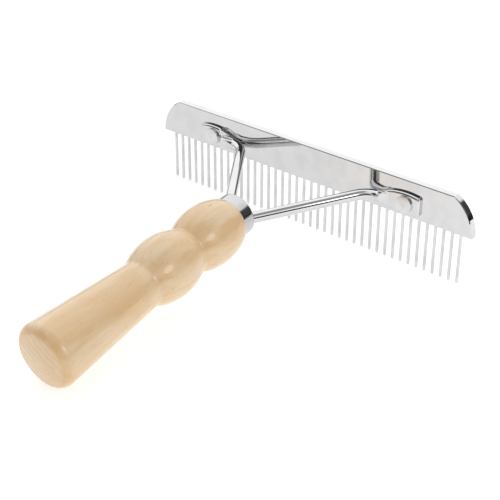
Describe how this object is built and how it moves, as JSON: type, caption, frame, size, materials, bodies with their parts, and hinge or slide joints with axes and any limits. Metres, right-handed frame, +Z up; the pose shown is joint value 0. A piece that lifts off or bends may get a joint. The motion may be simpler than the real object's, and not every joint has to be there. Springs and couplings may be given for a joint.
{
  "type": "deshedding tool",
  "caption": "T-shaped pet deshedding rake: a row of straight steel pins in a polished bar, V-shaped rod arms, a chromed ferrule and a turned, beaded wooden handle.",
  "frame": {"origin": "middle of the footprint's box, on the surface that the tool rests on", "axes": "+X along the bar and the row of pins, +Y from the handle towards the bar, +Z up, the pins pointing down"},
  "size_m": [0.178, 0.1734, 0.0426],
  "materials": {
    "bar_plate": "polished plate with fine drawn lines",
    "pin_steel": "bright drawn wire",
    "rod_chrome": "polished, with press marks at the paddles",
    "rivet_steel": "satin, lightly scuffed by the riveting tool",
    "ferrule_chrome": "polished",
    "handle_wood": "pale close-grained wood under clear satin lacquer"
  },
  "bodies": {
    "root": {"head_bar": "bar_plate", "pin_01": "pin_steel", "pin_02": "pin_steel", "pin_03": "pin_steel", "pin_04": "pin_steel", "pin_05": "pin_steel", "pin_06": "pin_steel", "pin_07": "pin_steel", "pin_08": "pin_steel", "pin_09": "pin_steel", "pin_10": "pin_steel", "pin_11": "pin_steel", "pin_12": "pin_steel", "pin_13": "pin_steel", "pin_14": "pin_steel", "pin_15": "pin_steel", "pin_16": "pin_steel", "pin_17": "pin_steel", "pin_18": "pin_steel", "pin_19": "pin_steel", "pin_20": "pin_steel", "pin_21": "pin_steel", "pin_22": "pin_steel", "pin_23": "pin_steel", "pin_24": "pin_steel", "pin_25": "pin_steel", "pin_26": "pin_steel", "pin_27": "pin_steel", "pin_28": "pin_steel", "pin_29": "pin_steel", "pin_30": "pin_steel", "pin_31": "pin_steel", "pin_32": "pin_steel", "pin_33": "pin_steel", "pin_34": "pin_steel", "pin_35": "pin_steel", "pin_36": "pin_steel", "pin_37": "pin_steel", "pin_38": "pin_steel", "pin_39": "pin_steel", "pin_40": "pin_steel", "left_arm": "rod_chrome", "right_arm": "rod_chrome", "left_rivet": "rivet_steel", "right_rivet": "rivet_steel", "ferrule": "ferrule_chrome", "handle": "handle_wood"}
  },
  "joints": []
}
